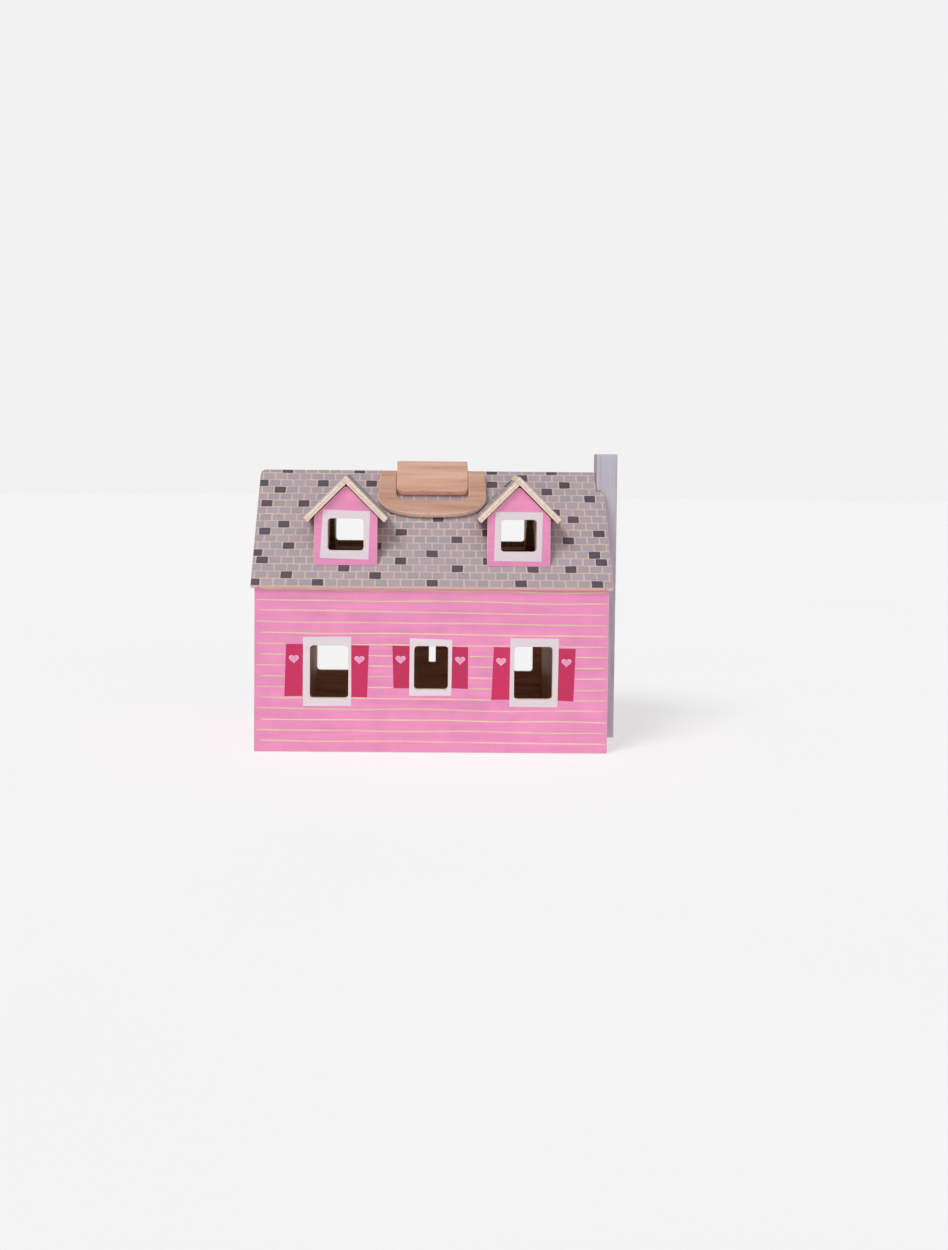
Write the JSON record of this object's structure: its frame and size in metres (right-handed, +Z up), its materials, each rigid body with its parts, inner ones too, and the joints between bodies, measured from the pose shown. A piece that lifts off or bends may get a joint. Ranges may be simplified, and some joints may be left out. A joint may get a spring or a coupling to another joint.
{
  "type": "fold-open wooden dollhouse",
  "caption": "Wooden dollhouse in hinged half shells with windows, dormers, a chimney and lift-up carry handles; it opens like a book onto small rooms.",
  "frame": {"origin": "on the ground at the middle of the closed house's outer box, chimney and hinges included", "axes": "+Z up, front of the house faces -Y, +X towards the chimney, which is also the longest extent"},
  "size_m": [0.353, 0.175, 0.2798],
  "materials": {
    "pink_paint": "satin pink paint on plywood, natural inside",
    "shingle_paint": "printed grey shingles on plywood",
    "bare_ply": "clear-coated plywood",
    "beech": "sanded and clear-coated solid beech",
    "chimney_stain": "grey-lavender stain on solid wood",
    "brass": "bright brass-plated",
    "white_print": "white printed window frames on painted wood",
    "crimson_print": "crimson printed shutters on painted wood",
    "heart_print": "light pink printed hearts on painted wood",
    "cream_print": "cream printed siding lines on painted wood",
    "charcoal_print": "charcoal printed shingles on painted wood",
    "steel": "plain steel rod"
  },
  "bodies": {
    "back_half": {"back_wall": "pink_paint", "back_left_gable": "pink_paint", "back_right_gable": "pink_paint", "back_ground_floor": "bare_ply", "back_upper_floor": "bare_ply", "back_left_partition": "bare_ply", "back_right_partition": "bare_ply", "back_attic_partition": "bare_ply", "back_roof_panel": "shingle_paint", "back_left_dormer_face": "pink_paint", "back_left_dormer_left_cheek": "pink_paint", "back_left_dormer_right_cheek": "pink_paint", "back_left_dormer_left_roof": "shingle_paint", "back_left_dormer_right_roof": "shingle_paint", "back_right_dormer_face": "pink_paint", "back_right_dormer_left_cheek": "pink_paint", "back_right_dormer_right_cheek": "pink_paint", "back_right_dormer_left_roof": "shingle_paint", "back_right_dormer_right_roof": "shingle_paint", "back_handle_block": "beech", "back_handle_pin": "steel", "lower_hinge_back_leaf": "brass", "upper_hinge_back_leaf": "brass", "back_hinge_screw_1": "brass", "back_hinge_screw_2": "brass", "back_hinge_screw_3": "brass", "back_hinge_screw_4": "brass", "chimney": "chimney_stain", "lower_hinge_pin": "brass", "upper_hinge_pin": "brass"},
    "front_half": {"front_wall": "pink_paint", "front_left_gable": "pink_paint", "front_right_gable": "pink_paint", "front_ground_floor": "bare_ply", "front_upper_floor": "bare_ply", "front_left_partition": "bare_ply", "front_right_partition": "bare_ply", "front_attic_partition": "bare_ply", "front_roof_panel": "shingle_paint", "front_left_dormer_face": "pink_paint", "front_left_dormer_left_cheek": "pink_paint", "front_left_dormer_right_cheek": "pink_paint", "front_left_dormer_left_roof": "shingle_paint", "front_left_dormer_right_roof": "shingle_paint", "front_right_dormer_face": "pink_paint", "front_right_dormer_left_cheek": "pink_paint", "front_right_dormer_right_cheek": "pink_paint", "front_right_dormer_left_roof": "shingle_paint", "front_right_dormer_right_roof": "shingle_paint", "front_handle_block": "beech", "front_handle_pin": "steel", "lower_hinge_front_leaf": "brass", "upper_hinge_front_leaf": "brass", "front_hinge_screw_1": "brass", "front_hinge_screw_2": "brass", "front_hinge_screw_3": "brass", "front_hinge_screw_4": "brass"},
    "front_handle": {"front_handle": "beech"},
    "back_handle": {"back_handle": "beech"}
  },
  "joints": [
    {"name": "house_opening", "type": "hinge", "parent": "back_half", "child": "front_half", "pos_m": [-0.1741, 0, 0], "axis": [0, 0, -1], "range_deg": [0, 180]},
    {"name": "front_handle_lift", "type": "hinge", "parent": "front_half", "child": "front_handle", "pos_m": [-0.0047, -0.00834, 0.25815], "axis": [-1, 0, 0], "range_deg": [0, 145]},
    {"name": "back_handle_lift", "type": "hinge", "parent": "back_half", "child": "back_handle", "pos_m": [-0.0047, 0.00834, 0.25815], "axis": [1, 0, 0], "range_deg": [0, 145]}
  ]
}
